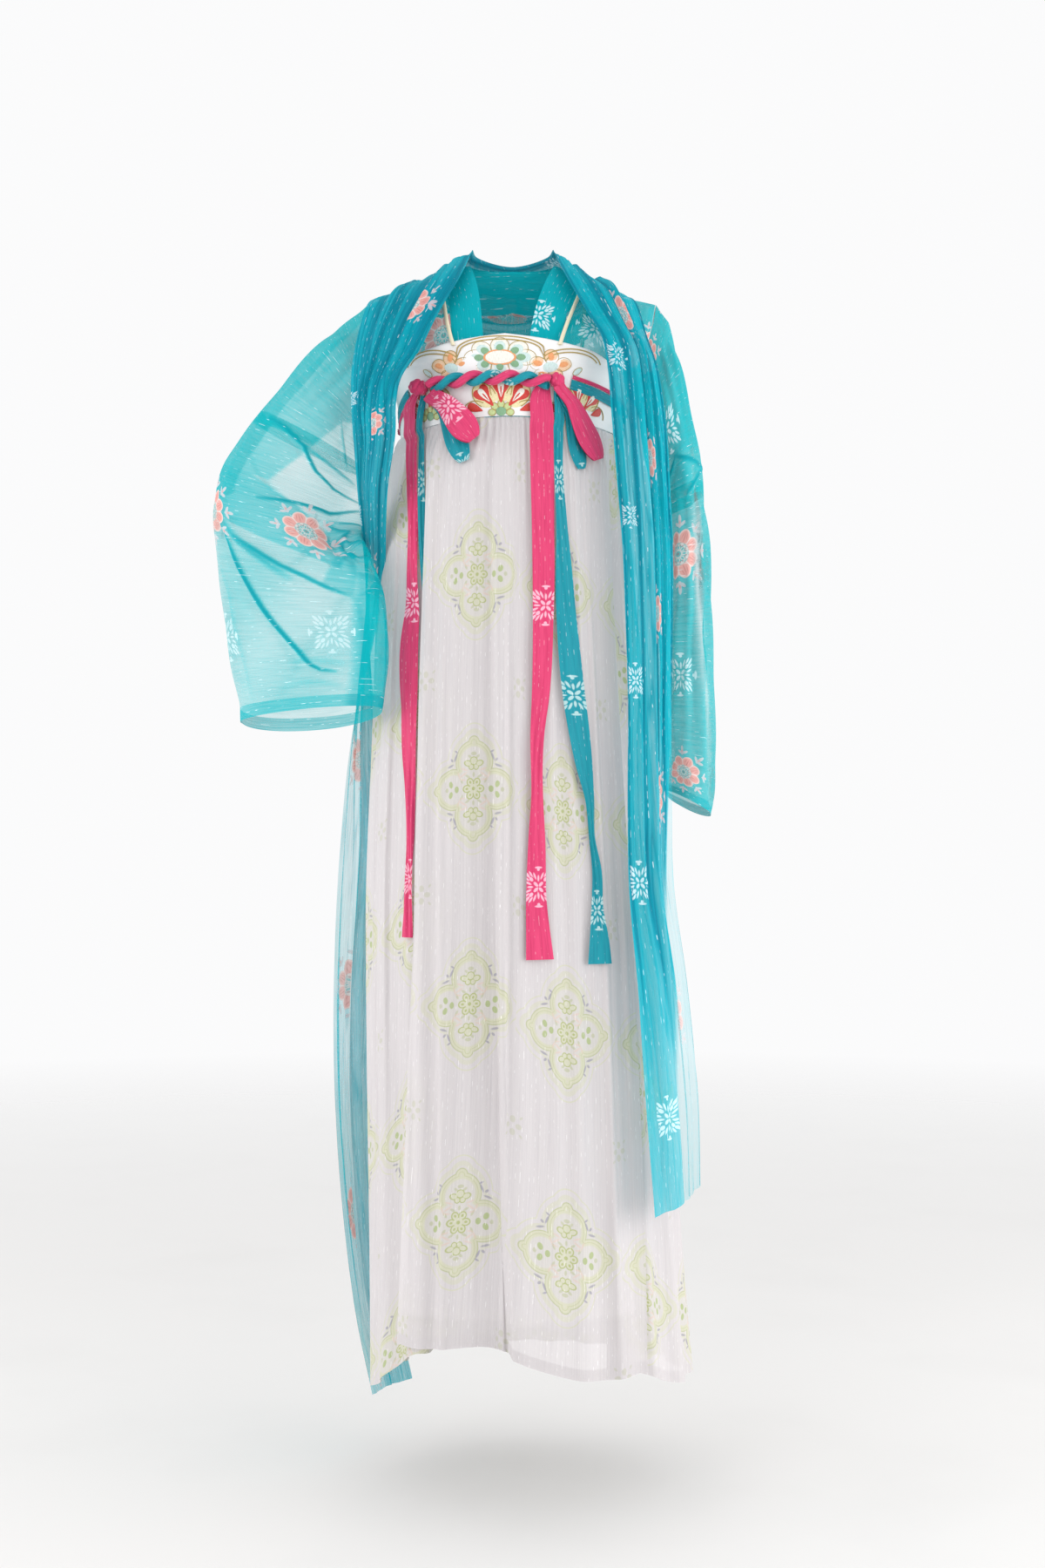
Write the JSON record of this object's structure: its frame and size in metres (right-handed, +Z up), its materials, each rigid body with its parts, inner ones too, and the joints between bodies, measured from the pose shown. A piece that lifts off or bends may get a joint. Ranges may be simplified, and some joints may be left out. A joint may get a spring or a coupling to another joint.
{
  "type": "hanfu robe",
  "caption": "Worn Tang-style hanfu set: wide-sleeved chiffon shirt, chest-high skirt with embroidered band and ties, and a long shawl, held hollow in its worn shape.",
  "frame": {"origin": "midway between the shoulders, where the wearer holds the set up", "axes": "+Z up, the front faces -Y, the wearer's left is +X"},
  "size_m": [0.6281, 0.3729, 1.4389],
  "materials": {
    "teal_chiffon": "sheer crinkled chiffon, printed, silver thread lines",
    "teal_shawl": "sheer crinkled chiffon, printed, silver thread lines",
    "white_chiffon": "sheer crinkled chiffon with printed medallions",
    "white_lining": "plain smooth lining",
    "embroidered_satin": "satin with traditional flower embroidery",
    "strap_cord": "satin bias cord",
    "pink_tie": "crinkled chiffon ribbon, printed",
    "teal_tie": "crinkled chiffon ribbon, printed"
  },
  "bodies": {
    "root": {"shirt_front_left": "teal_chiffon", "shirt_front_right": "teal_chiffon", "shirt_back": "teal_chiffon", "shirt_collar": "teal_chiffon", "sleeve_right_upper": "teal_chiffon", "sleeve_right_lower": "teal_chiffon", "cuff_right": "teal_chiffon", "sleeve_left_upper": "teal_chiffon", "sleeve_left_lower": "teal_chiffon", "cuff_left": "teal_chiffon", "shawl_right_drop": "teal_shawl", "shawl_neck": "teal_shawl", "shawl_left_drop": "teal_shawl", "skirt_front_panel": "white_chiffon", "skirt_back_panel": "white_chiffon", "skirt_lining": "white_lining", "band_front": "embroidered_satin", "band_back": "embroidered_satin", "strap_left": "strap_cord", "strap_right": "strap_cord", "tie_wrap_right_pink": "pink_tie", "tie_wrap_left_pink": "pink_tie", "tie_wrap_back_pink": "pink_tie", "tie_twist_pink": "pink_tie", "knot_right": "pink_tie", "knot_left": "pink_tie", "bow_right_pink": "pink_tie", "bow_left_pink": "pink_tie", "tail_right_pink": "pink_tie", "tail_left_pink": "pink_tie", "tie_wrap_right_teal": "teal_tie", "tie_wrap_left_teal": "teal_tie", "tie_wrap_back_teal": "teal_tie", "tie_twist_teal": "teal_tie", "bow_right_teal": "teal_tie", "bow_left_teal": "teal_tie", "tail_right_teal": "teal_tie", "tail_left_teal": "teal_tie"}
  },
  "joints": []
}
